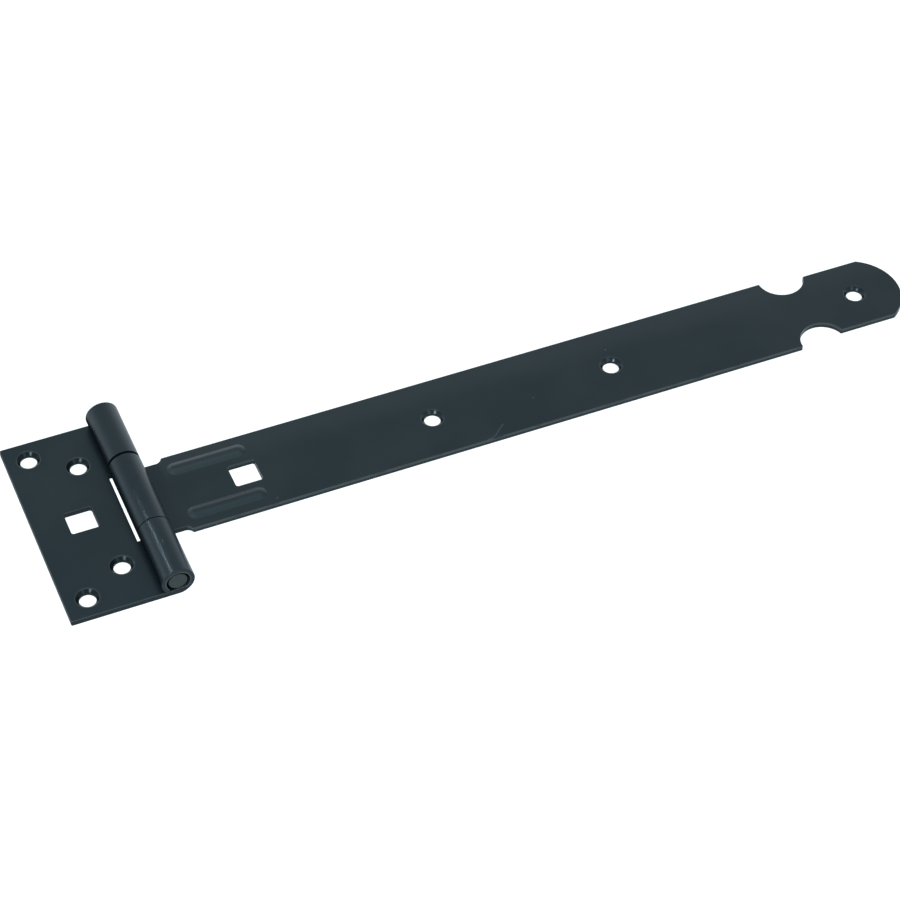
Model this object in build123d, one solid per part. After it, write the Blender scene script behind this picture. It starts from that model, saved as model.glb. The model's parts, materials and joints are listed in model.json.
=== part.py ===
from build123d import *
import os

# Tee hinge, lying flat with its front up.
# The origin lies on the back plane, under the middle of the hinge pin.
# +X runs along the strap, +Y along the pin and +Z out of the front.

# Sheet and pin
sheet_t = 2.0
pin_d = 6.6
pin_clearance = 0.08  # radial, between the pin and the strap's knuckle
pin_recess = 0.3  # from the end of a knuckle to the end of the pin
pin_lead = 1.5  # length of the taper at each end of the pin
pin_lead_drop = 0.25  # radial
mouth_depth = 1.5
mouth_flare = 0.5  # radial, at the mouth of each end knuckle
roll_lap = 45  # degrees that a rolled end goes on below the pin's axis
tip_gap = 0.15  # between a rolled end and the front of its own sheet

# Frame leaf, measured from the pin's axis
plate_height = 76.4
plate_reach = 34.5
plate_corner_r = 0.5
plate_bolt_x = 19.1
outer_screw_x = 27.0
outer_screw_pitch = 61.8
inner_screw_x = 13.2
inner_screw_pitch = 44.6
swing_gap = 0.3  # between the barrel and the edge of the cut-out
low_gap = 0.3  # between the strap's knuckle and the lower end knuckle
high_gap = 1.0  # between the strap's knuckle and the upper end knuckle

# Strap leaf, measured from the pin's axis
strap_width = 32.2
neck_width = 28.8
shoulder_x = 9.9
shoulder_r = 2.5
strap_bolt_x = 35.2
strap_screw_x = [99.8, 164.0]
bite_x = 235.5
bite_r = 8.0
finial_width = 28.0
tip_screw_x = 255.8

# Pressed ribs beside the strap's bolt hole
rib_x = 25.6
rib_pitch = 20.0
rib_length = 26.2
rib_width = 5.0
rib_height = 0.9
rib_blend_r = 1.2
groove_width = 2.6

# Holes
bolt_square = 9.0
bolt_corner_r = 0.8
screw_d = 5.4
countersink_d = 7.7

# Worked out from the sizes above
pin_r = pin_d / 2
strap_bore_r = pin_r + pin_clearance
roll_r = strap_bore_r + sheet_t
cut_width = neck_width + low_gap + high_gap
strap_y = (low_gap - high_gap) / 2
cut_tool = 4 * roll_r  # taller than anything that a hole or a cut-out goes through

on_back = (Align.CENTER, Align.CENTER, Align.MIN)
under_top = (Align.CENTER, Align.CENTER, Align.MAX)
along_y = Rot(-90, 0, 0)


def rolled_knuckle(bore_r, width):
    # The sheet comes in along the back from -X, turns up round +X and over the top,
    # and its end is pressed flat where it comes down to its own front face.
    outside = CenterArc((0, roll_r), roll_r, -90, 270 + roll_lap)
    inside = CenterArc((0, roll_r), bore_r, -90, 270 + roll_lap)
    start = Line(inside @ 0, outside @ 0)
    end = Line(outside @ 1, inside @ 1)
    section = make_face([start, outside, end, inside])
    section -= Rectangle(2 * roll_r, sheet_t + tip_gap, align=(Align.MAX, Align.MIN))
    return extrude(Plane.XZ * section, width / 2, both=True)


def screw_hole():
    # Sunk at 90 degrees for a wood screw's head
    depth = (countersink_d - screw_d) / 2
    sink = Cone(screw_d / 2, countersink_d / 2, depth, align=under_top)
    return Cylinder(screw_d / 2, cut_tool) + Pos(0, 0, sheet_t) * sink


def bolt_hole():
    square = RectangleRounded(bolt_square, bolt_square, bolt_corner_r)
    return extrude(square, cut_tool / 2, both=True)


def capsule(radius, length):
    ends = [Pos(x, 0, 0) * Sphere(radius) for x in (-length / 2, length / 2)]
    return Rot(0, 90, 0) * Cylinder(radius, length) + ends


def arc_radius(width, height):
    # Radius of the arc that rises by height over a chord of width.
    return (width**2 / 4 + height**2) / (2 * height)


def frame_leaf():
    plate = Box(plate_reach, plate_height, sheet_t, align=(Align.MAX, Align.CENTER, Align.MIN))
    plate = fillet(plate.edges().filter_by(Axis.Z).group_by(Axis.X)[0], plate_corner_r)
    leaf = plate + rolled_knuckle(pin_r, plate_height)

    # Room for the strap's knuckle to turn
    cut_length = 2 * roll_r + 2 * swing_gap
    leaf -= Box(cut_length, cut_width, cut_tool)

    # Each end knuckle opens a little towards its mouth
    mouth = along_y * Cone(pin_r, pin_r + mouth_flare, mouth_depth, align=under_top)
    mouth = Pos(0, plate_height / 2, roll_r) * mouth
    leaf -= [mouth, mirror(mouth, about=Plane.XZ)]

    screws = [(-outer_screw_x, outer_screw_pitch / 2), (-inner_screw_x, inner_screw_pitch / 2)]
    for x, y in screws:
        leaf -= [Pos(x, side * y, 0) * screw_hole() for side in (-1, 1)]
    return leaf - Pos(-plate_bolt_x, 0, 0) * bolt_hole()


def strap_outline():
    tip_r = strap_width / 2
    from_left = (Align.MIN, Align.CENTER)
    outline = Rectangle(bite_x, strap_width, align=from_left)
    finial = Rectangle(tip_screw_x - bite_x + tip_r, finial_width, align=from_left)
    round_end = Pos(tip_screw_x - bite_x, 0) * Circle(tip_r)
    straight = Rectangle(tip_screw_x - bite_x, finial_width, align=from_left)
    outline += Pos(bite_x, 0) * (straight + (finial & round_end))
    for side in (-1, 1):
        outline -= Pos(bite_x, side * strap_width / 2) * Circle(bite_r)
        # Rounded shoulder where the neck widens to the strap
        relief_y = side * (neck_width / 2 + shoulder_r)
        outline -= Pos(0, relief_y) * Rectangle(2 * shoulder_x, 2 * shoulder_r)
        outline -= Pos(shoulder_x, relief_y) * Circle(shoulder_r)
    return outline


def pressed_rib(leaf, y):
    # A round-backed rib on the front, with the press's groove behind it.
    straight = rib_length - rib_width
    rib_r = arc_radius(rib_width, rib_height)
    rib = Pos(0, 0, sheet_t + rib_height - rib_r) * capsule(rib_r, straight)
    rib &= Pos(0, 0, sheet_t / 2) * Box(2 * rib_length, 2 * rib_r, cut_tool, align=on_back)
    groove_r = arc_radius(groove_width, rib_height)
    groove = Pos(0, 0, rib_height - groove_r) * capsule(groove_r, straight)
    place = Pos(rib_x, y, 0)
    leaf = leaf + place * rib
    foot = [e for e in leaf.edges() if abs(e.center().Z - sheet_t) < 0.01]
    foot = [e for e in foot if abs(e.center().Y - y) <= rib_width / 2 + 0.01]
    foot = [e for e in foot if abs(e.center().X - rib_x) <= rib_length / 2 + 0.01]
    leaf = fillet(foot, rib_blend_r)
    return leaf - place * groove


def strap_leaf():
    leaf = extrude(strap_outline(), sheet_t)
    for side in (-1, 1):
        leaf = pressed_rib(leaf, side * rib_pitch / 2)
    leaf += mirror(rolled_knuckle(strap_bore_r, neck_width), about=Plane.YZ)
    leaf -= Pos(strap_bolt_x, 0, 0) * bolt_hole()
    leaf -= [Pos(x, 0, 0) * screw_hole() for x in [*strap_screw_x, tip_screw_x]]
    return Pos(0, strap_y, 0) * leaf


def hinge_pin():
    # Turned, with a taper at each end that starts it in the knuckles
    end_y = plate_height / 2 - pin_recess
    end_r = pin_r - pin_lead_drop
    taper = [(pin_r, end_y - pin_lead), (end_r, end_y), (0, end_y)]
    profile = Polyline((0, 0), (pin_r, 0), *taper, close=True)
    half = revolve(make_face(profile), Axis.Y)
    return Pos(0, 0, roll_r) * (half + mirror(half, about=Plane.XZ))


os.makedirs("parts", exist_ok=True)
nodes = {"frame_leaf": frame_leaf(), "strap_leaf": strap_leaf(), "hinge_pin": hinge_pin()}
for name, solid in nodes.items():
    export_step(solid, f"parts/{name}.step")
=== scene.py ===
import bpy
import bmesh
import json
import math
from mathutils import Matrix, Vector

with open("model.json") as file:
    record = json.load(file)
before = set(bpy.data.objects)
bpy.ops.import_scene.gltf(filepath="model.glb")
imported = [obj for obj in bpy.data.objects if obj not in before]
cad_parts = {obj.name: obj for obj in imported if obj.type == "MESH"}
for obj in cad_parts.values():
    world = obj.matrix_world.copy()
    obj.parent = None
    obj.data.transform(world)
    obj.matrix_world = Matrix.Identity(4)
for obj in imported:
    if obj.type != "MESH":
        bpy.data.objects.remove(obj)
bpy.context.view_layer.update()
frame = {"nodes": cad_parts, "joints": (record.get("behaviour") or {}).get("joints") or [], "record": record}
mm = 0.001
print("frame loaded:", sorted(frame["nodes"]))


def linkObject(name, data):
    made = bpy.data.objects.new(name, data)
    bpy.context.scene.collection.objects.link(made)
    return made


# places taken from the frame, in millimetres

pinHeight = frame["joints"][0]["pos_m"][2] / mm     # also the barrel's radius, as it rests on the back plane
mounts = frame["record"]["mounts"]


def screwCentres():
    centres = []
    for mount in mounts:
        x, y = (place / mm for place in mount["pos_m"][:2])
        halfX = mount["dims"].get("spacing_x_mm", 0.0) / 2
        halfY = mount["dims"].get("spacing_y_mm", 0.0) / 2
        if mount["kind"] == "bolt_pattern":
            centres += [(x - halfX, y - halfY), (x + halfX, y + halfY)]
        elif mount["kind"] == "bore":
            centres.append((x, y))
    return centres


def boltCentres():
    named = [mount for mount in mounts if mount["name"].endswith("_bolt")]
    return [tuple(place / mm for place in mount["pos_m"][:2]) for mount in named]


print("holes:", len(screwCentres()), "for screws,", len(boltCentres()), "for bolts")


# small helpers for node trees: a value may be a number or a socket

def feed(tree, value, socket):
    if isinstance(value, bpy.types.NodeSocket):
        tree.links.new(value, socket)
    else:
        socket.default_value = value


def maths(tree, operation, first, second=0.0):
    node = tree.nodes.new("ShaderNodeMath")
    node.operation = operation
    feed(tree, first, node.inputs[0])
    feed(tree, second, node.inputs[1])
    return node.outputs[0]


def times(tree, first, *others):
    for other in others:
        first = maths(tree, "MULTIPLY", first, other)
    return first


def largest(tree, first, *others):
    for other in others:
        first = maths(tree, "MAXIMUM", first, other)
    return first


def inverse(tree, share):
    return maths(tree, "SUBTRACT", 1.0, share)


# a number that goes over to another one as a share grows
def blend(tree, share, first, second):
    return maths(tree, "ADD", first, times(tree, share, second - first))


# a pattern from 0 to 1, spread evenly round zero
def spread(tree, pattern, amount):
    return times(tree, maths(tree, "SUBTRACT", pattern, 0.5), amount)


def between(tree, value, zeroAt, oneAt):
    node = tree.nodes.new("ShaderNodeMapRange")
    node.interpolation_type = "SMOOTHSTEP"
    feed(tree, value, node.inputs["Value"])
    if zeroAt < oneAt:
        limits = (zeroAt, oneAt, 0.0, 1.0)
    else:
        limits = (oneAt, zeroAt, 1.0, 0.0)
    for name, limit in zip(("From Min", "From Max", "To Min", "To Max"), limits):
        node.inputs[name].default_value = limit
    return node.outputs["Result"]


def vectorMaths(tree, operation, first, second):
    node = tree.nodes.new("ShaderNodeVectorMath")
    node.operation = operation
    feed(tree, first, node.inputs[0])
    feed(tree, second, node.inputs[1])
    return node


def millimetres(tree, place, kept="xyz"):
    scale = tuple(1 / mm if axis in kept else 0.0 for axis in "xyz")
    return vectorMaths(tree, "MULTIPLY", place, scale).outputs[0]


def axes(tree, vector):
    split = tree.nodes.new("ShaderNodeSeparateXYZ")
    tree.links.new(vector, split.inputs[0])
    return split.outputs


def distance(tree, place, point):
    return vectorMaths(tree, "DISTANCE", place, point).outputs["Value"]


def fromPinAxis(tree, place):
    return distance(tree, millimetres(tree, place, "xz"), (0.0, 0.0, pinHeight))


def nearest(tree, flatPlace, centres):
    closest = None
    for x, y in centres:
        gap = distance(tree, flatPlace, (x, y, 0.0))
        closest = gap if closest is None else maths(tree, "MINIMUM", closest, gap)
    return closest


# softened edges: the coat rounds every cut edge, the CAD meshes themselves stay as they are

edgeSoft = {
    "mergeWithin": 0.001 * mm,
    "flatWithin": 0.2,          # degrees, below this two facets are one flat
    "sharpAbove": 40.0,         # degrees, blends and rolls stay as they are
    "segments": 3,
    "flatWeight": 60,           # how much the large faces lead the shading
    "radius": {"frame_leaf": 0.28 * mm, "strap_leaf": 0.28 * mm, "hinge_pin": 0.25 * mm},
    "boltHoleShare": 0.8,       # the square holes are punched crisper than the outline
    "boltHoleReach": 7.0,       # mm from the middle of a square hole
    "boreShare": 0.2,           # the foot of a countersink stays sharp
    "boreReach": 2.9,           # mm from the middle of a screw hole
    "backShare": 0.3,           # and so does the back edge of a shear cut
    "backFrom": (1.0, 0.1),     # mm above the back
    "jointShare": 0.3,          # and the knuckles' ends that meet each other
    "jointReach": (16.0, 8.0),  # mm along the pin and either side of it
    "neck": (14.9, 2.05),       # mm either side of the middle and above the back: not a joint
    "nip": (4.6, 2.4),          # mm from the pin and above the back: the roll's own step is left alone
}


def edgeTree():
    tree = bpy.data.node_groups.new("coatEdges", "GeometryNodeTree")
    for way in ("INPUT", "OUTPUT"):
        tree.interface.new_socket("Geometry", in_out=way, socket_type="NodeSocketGeometry")
    shapeIn = tree.nodes.new("NodeGroupInput")
    smooth = tree.nodes.new("GeometryNodeSetShadeSmooth")
    store = tree.nodes.new("GeometryNodeStoreNamedAttribute")
    store.data_type = "FLOAT"
    store.domain = "EDGE"
    store.inputs["Name"].default_value = "bevel_weight_edge"
    shapeOut = tree.nodes.new("NodeGroupOutput")
    tree.links.new(shapeIn.outputs[0], smooth.inputs[0])
    tree.links.new(smooth.outputs[0], store.inputs["Geometry"])
    tree.links.new(store.outputs[0], shapeOut.inputs[0])

    def below(value, limit):
        return maths(tree, "LESS_THAN", value, limit)

    place = tree.nodes.new("GeometryNodeInputPosition").outputs[0]
    flatPlace = millimetres(tree, place, "xy")
    x, y, z = axes(tree, millimetres(tree, place))
    fromMiddle = maths(tree, "ABSOLUTE", y)
    inBoltHole = below(nearest(tree, flatPlace, boltCentres()), edgeSoft["boltHoleReach"])
    inBore = below(nearest(tree, flatPlace, screwCentres()), edgeSoft["boreReach"])
    atBack = between(tree, z, *edgeSoft["backFrom"])
    along, across = edgeSoft["jointReach"]
    neckHalf, neckTop = edgeSoft["neck"]
    onNeck = times(tree, maths(tree, "GREATER_THAN", x, 0.0), below(z, neckTop), below(fromMiddle, neckHalf))
    inJoint = times(tree, below(fromMiddle, along), below(maths(tree, "ABSOLUTE", x), across),
                    inverse(tree, onNeck))
    nipReach, nipTop = edgeSoft["nip"]
    inNip = times(tree, below(fromPinAxis(tree, place), nipReach), below(z, nipTop))

    angle = tree.nodes.new("GeometryNodeInputMeshEdgeAngle").outputs["Unsigned Angle"]
    sharp = maths(tree, "GREATER_THAN", angle, math.radians(edgeSoft["sharpAbove"]))
    weight = times(tree, sharp, inverse(tree, inNip))
    for where, share in ((inBoltHole, "boltHoleShare"), (inBore, "boreShare"),
                         (atBack, "backShare"), (inJoint, "jointShare")):
        weight = times(tree, weight, blend(tree, where, 1.0, edgeSoft[share]))
    tree.links.new(weight, store.inputs["Value"])
    return tree


def softenEdges(node, radius, tree):
    weld = node.modifiers.new("weld", "WELD")
    weld.merge_threshold = edgeSoft["mergeWithin"]
    flats = node.modifiers.new("flats", "DECIMATE")
    flats.decimate_type = "DISSOLVE"
    flats.angle_limit = math.radians(edgeSoft["flatWithin"])
    weigh = node.modifiers.new("weigh", "NODES")
    weigh.node_group = tree
    soft = node.modifiers.new("soft", "BEVEL")
    soft.limit_method = "WEIGHT"
    soft.width = radius
    soft.segments = edgeSoft["segments"]
    soft.use_clamp_overlap = False
    soft.loop_slide = False
    even = node.modifiers.new("even", "WEIGHTED_NORMAL")
    even.mode = "FACE_AREA"
    even.weight = edgeSoft["flatWeight"]


coatEdges = edgeTree()
for name, radius in edgeSoft["radius"].items():
    softenEdges(frame["nodes"][name], radius, coatEdges)
print("edges softened:", sorted(edgeSoft["radius"]))


# satin black coat of the leaves
# a pair of limits runs from where a mask starts to where it is full

leafFinish = {
    "colour": (0.0041, 0.0097, 0.0137),
    "patchColour": (0.0060, 0.0116, 0.0154),    # where the coat lies thinner
    "farEdgeSheenColour": (0.0105, 0.0170, 0.0208),     # painted sheen, lighter towards the strap's far edge
    "ribEndHighlightColour": (0.022, 0.033, 0.039),      # painted highlight on the ribs' ends that face the barrel
    "edgeWearAndHighlightColour": (0.039, 0.043, 0.039),        # lighter along the cut edges: rubbed wear and a painted highlight
    "scratchColour": (0.045, 0.055, 0.060),
    "bareAndShadeColour": (0.004, 0.006, 0.007),       # bare or hardly coated metal, also used for painted shade
    "specular": 0.36,
    "specularTint": (0.62, 0.88, 1.0),
    "roughness": 0.33,
    "roughnessSpread": 0.05,
    "sinkRoughness": 0.22,      # in the countersinks
    "mattRoughness": 0.3,       # added where the coat is thin and where shade is painted

    # patterns: scale per metre, and detail
    "patch": (38.0, 4.0),
    "peel": (850.0, 2.0),
    "tear": (1500.0, 3.0),
    "wear": (160.0, 3.0),
    "peelHeight": 0.0013 * mm,
    "tearHeight": 0.03 * mm,
    "tearSpread": 0.7,          # mm up and down a cut face
    "patchFrom": (0.35, 0.7),
    "wearFrom": (0.2, 0.5),

    # the sheet and its holes, in mm
    "sheet": 2.0,
    "flatFrom": (0.06, 0.02),   # above the front
    "holeReach": 6.8,           # from the middle of a hole to its widest wall
    "sinkRadius": 3.85,         # front rim of a screw hole
    "jointReach": 16.0,         # along the pin

    # which way a face looks: up or down, along the pin, or towards the barrel
    "uprightFrom": (0.6, 0.35),
    "endFrom": (0.8, 0.92),
    "sinkFrom": (0.85, 0.75),
    "frontFrom": (0.8, 0.95),
    "ribEndFrom": (-0.1, -0.4),

    # how matt and dark the coat is: where it is thin, and where shade is painted
    "tornFrom": (1.3, 1.0),     # mm above the back, where the shear's clean cut ends
    "tornShare": 0.3,           # on an outline
    # more in the holes: painted shade
    "tornShareAndShadeInHoles": 0.45,
    "frameCutShadeShare": 0.45,         # the clean cut above it, on the frame leaf only, darkened as painted shade
    "jointShare": 0.75,         # painted shade between the knuckles, on their facing ends
    "sinkShare": 0.55,          # painted shade in the countersinks, on the strap less so
    "strapSinkShadeShare": 0.15,
    "barrelPaintedShadeShare": 0.97,          # painted shade on the barrel, darker where the sheet below it closes it in
    "strapPaintedShadeShare": 0.4,      # and painted shade on the strap's side of the pin
    "paintedShadeFrom": (0.94, 0.83),   # open share of the surroundings of a spot, for the painted shade
    "paintedShadeReach": 20.0 * mm,
    "paintedShadeSamples": 16,

    # how light the edges are: rubbed wear and a painted highlight
    "roundingFrom": ((0.2, 0.45), (0.97, 0.85)),    # between a cut face and the front
    "roundingDepth": (0.5, 0.3),                    # mm below the front
    "rimFrom": (0.22, 0.05),                        # mm either side of a screw hole's rim
    "rimDepth": (0.4, 0.2),
    "rimShare": 0.45,
    "strapRimShare": 0.15,
    "burnishAndHighlight": 0.2,             # clean cut, burnished, with a painted highlight
    # the strap's cut faces lighter than the frame leaf's: a painted highlight
    "strapBurnishAndHighlight": 0.65,
    "endBurnishAndReflection": 0.6,          # knuckles' ends, burnished, with a painted reflection
    # share of the painted highlight on the ribs' ends
    "ribEndHighlightShare": 0.8,
    "farEdgeSheenFrom": (2.0, 14.0),    # mm across the strap, for the painted sheen
}
# handling marks on the front: ends in millimetres and half width
scratches = (
    ((112.6, -16.2), (115.4, -15.6), 0.07),
    ((115.4, -15.6), (119.9, -11.65), 0.11),
    ((165.1, 6.7), (165.3, 6.8), 0.22),
    ((40.8, -14.3), (41.0, -14.2), 0.20),
    ((133.8, -4.4), (133.9, -4.4), 0.18),
    ((-0.4, -25.9), (-0.3, -24.4), 0.09),
)
scratchFade = (1.6, 0.6)    # in half widths, from nothing to the full mark


def scratchMask(tree, flatPlace):
    marks = []
    for start, end, halfWidth in scratches:
        along = Vector(end) - Vector(start)
        offset = vectorMaths(tree, "SUBTRACT", flatPlace, (*start, 0.0)).outputs[0]
        reach = vectorMaths(tree, "DOT_PRODUCT", offset, (*(along / along.length_squared), 0.0))
        reach = maths(tree, "MINIMUM", maths(tree, "MAXIMUM", reach.outputs["Value"], 0.0), 1.0)
        onLine = tree.nodes.new("ShaderNodeVectorMath")
        onLine.operation = "SCALE"
        onLine.inputs[0].default_value = (*along, 0.0)
        tree.links.new(reach, onLine.inputs["Scale"])
        gap = distance(tree, offset, onLine.outputs[0])
        marks.append(between(tree, gap, *(fade * halfWidth for fade in scratchFade)))
    return largest(tree, *marks)


def mixColour(tree, share, first, second):
    node = tree.nodes.new("ShaderNodeMix")
    node.data_type = "RGBA"
    feed(tree, share, node.inputs[0])
    for value, socket in ((first, node.inputs[6]), (second, node.inputs[7])):
        feed(tree, (*value, 1.0) if isinstance(value, tuple) else value, socket)
    return node.outputs[2]


def noise(tree, place, scale, detail):
    node = tree.nodes.new("ShaderNodeTexNoise")
    node.inputs["Scale"].default_value = scale
    node.inputs["Detail"].default_value = detail
    tree.links.new(place, node.inputs["Vector"])
    return node.outputs["Fac"]


def bumped(tree, pattern, height, under=None):
    node = tree.nodes.new("ShaderNodeBump")
    node.inputs["Strength"].default_value = 1.0
    node.inputs["Distance"].default_value = height
    tree.links.new(pattern, node.inputs["Height"])
    if under is not None:
        tree.links.new(under, node.inputs["Normal"])
    return node.outputs["Normal"]


def newCoat(name, finish):
    material = bpy.data.materials.new(name)
    material.use_nodes = True
    coat = material.node_tree.nodes["Principled BSDF"]
    coat.inputs["Specular IOR Level"].default_value = finish["specular"]
    coat.inputs["Specular Tint"].default_value = (*finish["specularTint"], 1.0)
    return material, material.node_tree, coat


def leafMaterial(finish):
    material, tree, coat = newCoat("leafCoat", finish)
    coordinates = tree.nodes.new("ShaderNodeTexCoord")
    place = coordinates.outputs["Object"]
    flatPlace = millimetres(tree, place, "xy")
    x, y, z = axes(tree, millimetres(tree, place))
    faceX, faceY, faceZ = axes(tree, coordinates.outputs["Normal"])
    pinward = maths(tree, "ABSOLUTE", faceY)    # how far a face looks along the pin
    level = maths(tree, "ABSOLUTE", faceZ)      # and up or down

    # depth in the sheet, from its back: upwards in the flat, inwards in the roll
    sheet = finish["sheet"]
    inFlat = between(tree, z, *(sheet + step for step in finish["flatFrom"]))
    inRoll = maths(tree, "SUBTRACT", pinHeight, fromPinAxis(tree, place))
    depth = maths(tree, "ADD", times(tree, z, inFlat), times(tree, inRoll, inverse(tree, inFlat)))

    # sheared faces stand square to the sheet
    upright = times(tree, between(tree, level, *finish["uprightFrom"]), inFlat)
    knuckleEnd = times(tree, between(tree, pinward, *finish["endFrom"]), inverse(tree, inFlat))
    sheared = largest(tree, upright, knuckleEnd)
    tear = noise(tree, place, *finish["tear"])
    ragged = maths(tree, "ADD", depth, spread(tree, tear, finish["tearSpread"]))
    torn = times(tree, sheared, between(tree, ragged, *finish["tornFrom"]))

    # where on the leaf
    toScrew = nearest(tree, flatPlace, screwCentres())
    toHole = maths(tree, "MINIMUM", toScrew, nearest(tree, flatPlace, boltCentres()))
    inHole = maths(tree, "LESS_THAN", toHole, finish["holeReach"])
    inSink = times(tree, maths(tree, "LESS_THAN", toScrew, finish["sinkRadius"]),
                   between(tree, level, *finish["sinkFrom"]))
    onStrap = maths(tree, "GREATER_THAN", x, 2 * pinHeight)
    frameSide = maths(tree, "LESS_THAN", x, 0.0)
    onBarrel = inverse(tree, largest(tree, onStrap, sheared, inFlat))
    inJoint = times(tree, knuckleEnd, maths(
        tree, "LESS_THAN", maths(tree, "ABSOLUTE", y), finish["jointReach"]))

    # matt and dark where the coat is thin, and painted shade in the holes, countersinks, joints, on the frame
    # leaf's cut faces and on the barrel beside the sheet
    # painted shade: the barrel darkened where little of its surroundings is open
    sky = tree.nodes.new("ShaderNodeAmbientOcclusion")
    sky.samples = finish["paintedShadeSamples"]
    sky.inputs["Distance"].default_value = finish["paintedShadeReach"]
    paintedShade = times(tree, between(tree, sky.outputs["AO"], *finish["paintedShadeFrom"]), onBarrel)
    matt = largest(
        tree,
        # the torn part of a cut face, with painted shade added in the holes
        times(tree, torn, blend(tree, inHole, finish["tornShare"], finish["tornShareAndShadeInHoles"])),
        # painted shade on the frame leaf's cut faces
        times(tree, upright, inverse(tree, onStrap), finish["frameCutShadeShare"]),
        # painted shade on the barrel beside the sheet
        times(tree, paintedShade, blend(tree, frameSide, finish["strapPaintedShadeShare"], finish["barrelPaintedShadeShare"])),
        # painted shade in the countersinks
        times(tree, inSink, blend(tree, onStrap, finish["sinkShare"], finish["strapSinkShadeShare"])),
        # painted shade on the knuckles' facing ends
        times(tree, inJoint, finish["jointShare"]),
    )

    # edges made lighter, partly rubbed wear and partly a painted highlight: the rounding between the front
    # and a cut face, the rims of the screw holes, the clean cut; on the knuckles' ends a painted reflection
    rounding = times(
        tree, inFlat, *(between(tree, level, *limits) for limits in finish["roundingFrom"]),
        between(tree, z, *(sheet - step for step in finish["roundingDepth"])),
        maths(tree, "GREATER_THAN", toScrew, finish["sinkRadius"]))
    fromRim = maths(tree, "ABSOLUTE", maths(tree, "SUBTRACT", toScrew, finish["sinkRadius"]))
    rim = times(
        tree, between(tree, fromRim, *finish["rimFrom"]),
        blend(tree, onStrap, finish["rimShare"], finish["strapRimShare"]),
        between(tree, z, *(sheet - step for step in finish["rimDepth"])))
    burnishAndHighlight = largest(tree, blend(tree, onStrap, finish["burnishAndHighlight"], finish["strapBurnishAndHighlight"]),
                      times(tree, knuckleEnd, finish["endBurnishAndReflection"]))
    burnishAndHighlight = times(tree, burnishAndHighlight, maths(tree, "SUBTRACT", sheared, torn), inverse(tree, inHole))
    worn = between(tree, noise(tree, place, *finish["wear"]), *finish["wearFrom"])
    rubbedAndHighlit = times(tree, largest(tree, rounding, rim, burnishAndHighlight), worn)

    # painted highlight: the ribs' ends that face the barrel are made lighter
    ribEnd = times(tree, onStrap, inverse(tree, inFlat), between(tree, faceX, *finish["ribEndFrom"]))
    # painted sheen: the strap lighter towards its far edge
    farEdgeSheen = times(tree, onStrap, between(tree, y, *finish["farEdgeSheenFrom"]))
    marked = times(tree, scratchMask(tree, flatPlace), between(tree, faceZ, *finish["frontFrom"]))
    patches = between(tree, noise(tree, place, *finish["patch"]), *finish["patchFrom"])

    colour = mixColour(tree, patches, finish["colour"], finish["patchColour"])
    for share, other in ((farEdgeSheen, "farEdgeSheenColour"), (times(tree, ribEnd, finish["ribEndHighlightShare"]), "ribEndHighlightColour"),
                         (rubbedAndHighlit, "edgeWearAndHighlightColour"), (marked, "scratchColour")):
        colour = mixColour(tree, share, colour, finish[other])
    tree.links.new(colour, coat.inputs["Base Color"])

    rough = maths(tree, "ADD", spread(tree, patches, finish["roughnessSpread"]),
                  blend(tree, inSink, finish["roughness"], finish["sinkRoughness"]))
    bare = times(tree, matt, inverse(tree, inSink), finish["mattRoughness"])
    tree.links.new(maths(tree, "ADD", rough, bare), coat.inputs["Roughness"])

    normal = bumped(tree, noise(tree, place, *finish["peel"]), finish["peelHeight"])
    normal = bumped(tree, times(tree, tear, torn), finish["tearHeight"], normal)
    tree.links.new(normal, coat.inputs["Normal"])

    # dark diffuse: bare metal on the torn cut faces, painted shade elsewhere, mixed in by matt
    bareAndShade = tree.nodes.new("ShaderNodeBsdfDiffuse")
    bareAndShade.inputs["Color"].default_value = (*finish["bareAndShadeColour"], 1.0)
    tree.links.new(normal, bareAndShade.inputs["Normal"])
    both = tree.nodes.new("ShaderNodeMixShader")
    tree.links.new(matt, both.inputs[0])
    tree.links.new(coat.outputs[0], both.inputs[1])
    tree.links.new(bareAndShade.outputs[0], both.inputs[2])
    tree.links.new(both.outputs[0], tree.nodes["Material Output"].inputs["Surface"])
    return material


leafCoat = leafMaterial(leafFinish)
for name in ("frame_leaf", "strap_leaf"):
    frame["nodes"][name].material_slots[0].material = leafCoat
print("leaves coated, with", len(scratches), "handling marks")


# the pin: coated thinner, with faint turning marks on its ends

pinFinish = {
    "colour": (0.011, 0.018, 0.017),
    "ringColour": (0.019, 0.025, 0.024),
    "roughness": 0.36,
    "specular": 0.27,
    "specularTint": (0.78, 0.92, 1.0),
    "ringScale": 1100.0,        # per metre
    "ringDistortion": 1.5,
    "grain": (1200.0, 3.0),     # scale per metre, and detail
    "grainHeight": 0.004 * mm,
}


def pinMaterial(finish):
    material, tree, coat = newCoat("pinCoat", finish)
    coat.inputs["Roughness"].default_value = finish["roughness"]
    place = tree.nodes.new("ShaderNodeTexCoord").outputs["Object"]
    centred = vectorMaths(tree, "SUBTRACT", place, (0.0, 0.0, pinHeight * mm)).outputs[0]
    centred = vectorMaths(tree, "MULTIPLY", centred, (1.0, 0.0, 1.0)).outputs[0]
    rings = tree.nodes.new("ShaderNodeTexWave")
    rings.wave_type = "RINGS"
    rings.rings_direction = "Y"
    rings.inputs["Scale"].default_value = finish["ringScale"]
    rings.inputs["Distortion"].default_value = finish["ringDistortion"]
    tree.links.new(centred, rings.inputs["Vector"])
    grain = noise(tree, place, *finish["grain"])
    turned = times(tree, rings.outputs["Fac"], grain)
    tree.links.new(mixColour(tree, turned, finish["colour"], finish["ringColour"]), coat.inputs["Base Color"])
    tree.links.new(bumped(tree, grain, finish["grainHeight"]), coat.inputs["Normal"])
    return material


frame["nodes"]["hinge_pin"].material_slots[0].material = pinMaterial(pinFinish)
print("pin coated")


# floor, lights and camera

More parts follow.
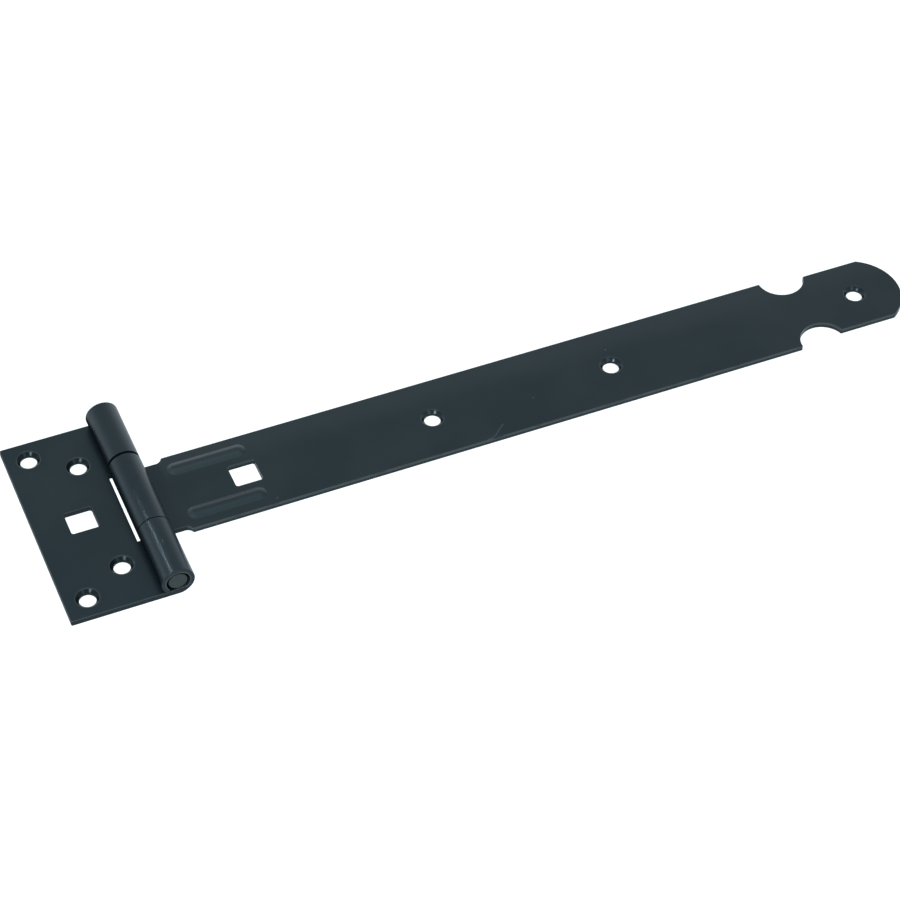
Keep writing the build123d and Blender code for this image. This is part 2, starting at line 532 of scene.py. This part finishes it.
floor = {
    "drop": 0.30,           # room below for the strap to swing down
    "halfWidth": 12.0,
    "colour": (0.46, 0.54, 0.58),
    "glow": 0.58,           # lifts what is seen of it to white
}


def makeFloor():
    mesh = bpy.data.meshes.new("floor")
    made = linkObject("floor", mesh)
    shape = bmesh.new()
    bmesh.ops.create_grid(shape, x_segments=1, y_segments=1, size=floor["halfWidth"])
    bmesh.ops.translate(shape, vec=(0.0, 0.0, -floor["drop"]), verts=shape.verts)
    shape.to_mesh(mesh)
    shape.free()
    material = bpy.data.materials.new("paleFloor")
    material.use_nodes = True
    tree = material.node_tree
    tree.nodes.remove(tree.nodes["Principled BSDF"])
    matt = tree.nodes.new("ShaderNodeBsdfDiffuse")
    matt.inputs["Color"].default_value = (*floor["colour"], 1.0)
    glow = tree.nodes.new("ShaderNodeEmission")
    ray = tree.nodes.new("ShaderNodeLightPath")
    seen = largest(tree, *(ray.outputs[kind] for kind in (
        "Is Camera Ray", "Is Glossy Ray", "Is Transmission Ray")))
    tree.links.new(times(tree, seen, floor["glow"]), glow.inputs["Strength"])
    both = tree.nodes.new("ShaderNodeAddShader")
    tree.links.new(matt.outputs[0], both.inputs[0])
    tree.links.new(glow.outputs[0], both.inputs[1])
    tree.links.new(both.outputs[0], tree.nodes["Material Output"].inputs["Surface"])
    mesh.materials.append(material)


makeFloor()
print("floor laid")

# studio surround by the height of a direction: bright low down and overhead, greyer between
surround = (
    (0.0, (1.30, 1.43, 1.50)),
    (0.13, (1.32, 1.41, 1.46)),
    (0.40, (0.97, 0.98, 0.99)),
    (0.60, (0.67, 0.67, 0.67)),
    (0.74, (0.60, 0.60, 0.60)),
    (0.84, (0.79, 0.79, 0.79)),
    (0.92, (1.42, 1.42, 1.42)),
    (1.0, (1.75, 1.75, 1.75)),
)


def makeSurround():
    world = bpy.data.worlds.new("studio")
    bpy.context.scene.world = world
    world.use_nodes = True
    tree = world.node_tree
    height = axes(tree, tree.nodes.new("ShaderNodeTexCoord").outputs["Generated"])["Z"]
    ramp = tree.nodes.new("ShaderNodeValToRGB")
    tree.links.new(height, ramp.inputs["Fac"])
    tree.links.new(ramp.outputs["Color"], tree.nodes["Background"].inputs["Color"])
    stops = ramp.color_ramp.elements
    while len(stops) < len(surround):
        stops.new(0.5)
    for stop, (position, colour) in zip(stops, surround):
        stop.position = position
        stop.color = (*colour, 1.0)


makeSurround()

# power in watts; a cone, in degrees, narrows a lamp to a part of the object
lamps = {
    "barrelSpot": {"from": (-0.195, 0.322, 0.388), "aim": (-0.001, -0.038, 0.010), "size": 0.04,
                   "power": 6.3, "cone": 2.6},
    "frontLeft": {"from": (-0.66, -0.60, 0.81), "aim": (0.05, 0.0, 0.0), "size": 0.30, "power": 6.0},
    "frontSoft": {"from": (0.35, -0.88, 0.75), "aim": (0.05, 0.0, 0.0), "size": 0.50, "power": 1.6},
}


def makeLamp(name, lamp):
    if "cone" in lamp:
        data = bpy.data.lights.new(name, "SPOT")
        data.spot_size = math.radians(lamp["cone"])
        data.spot_blend = 1.0
        data.shadow_soft_size = lamp["size"] / 2
    else:
        data = bpy.data.lights.new(name, "AREA")
        data.shape = "SQUARE"
        data.size = lamp["size"]
    data.energy = lamp["power"]
    start = Vector(lamp["from"])
    turn = (Vector(lamp["aim"]) - start).to_track_quat("-Z", "Y").to_matrix().to_4x4()
    linkObject(name, data).matrix_world = Matrix.Translation(start) @ turn


for name, lamp in lamps.items():
    makeLamp(name, lamp)
print("lit by", len(lamps), "lamps and the surround")

# angles in degrees, lens and sensor in millimetres
photoView = {
    "azimuth": -23.86,
    "elevation": 47.05,
    "roll": 1.30,
    "target": (100.24 * mm, -14.09 * mm, 0.0),
    "distance": 868.6 * mm,
    "lens": 107.73,
    "sensor": 36.0,
}


def makeCamera():
    data = bpy.data.cameras.new("photoCamera")
    data.sensor_width = photoView["sensor"]
    data.lens = photoView["lens"]
    made = linkObject("photoCamera", data)
    turn = math.radians(photoView["azimuth"])
    rise = math.radians(photoView["elevation"])
    back = Vector((math.sin(turn) * math.cos(rise), -math.cos(turn) * math.cos(rise), math.sin(rise)))
    look = (-back).to_track_quat("-Z", "Y").to_matrix().to_4x4()
    roll = Matrix.Rotation(math.radians(photoView["roll"]), 4, "Z")
    stand = Vector(photoView["target"]) + back * photoView["distance"]
    made.matrix_world = Matrix.Translation(stand) @ look @ roll
    bpy.context.scene.camera = made


makeCamera()
bpy.context.scene.view_settings.view_transform = "Standard"
print("camera set")
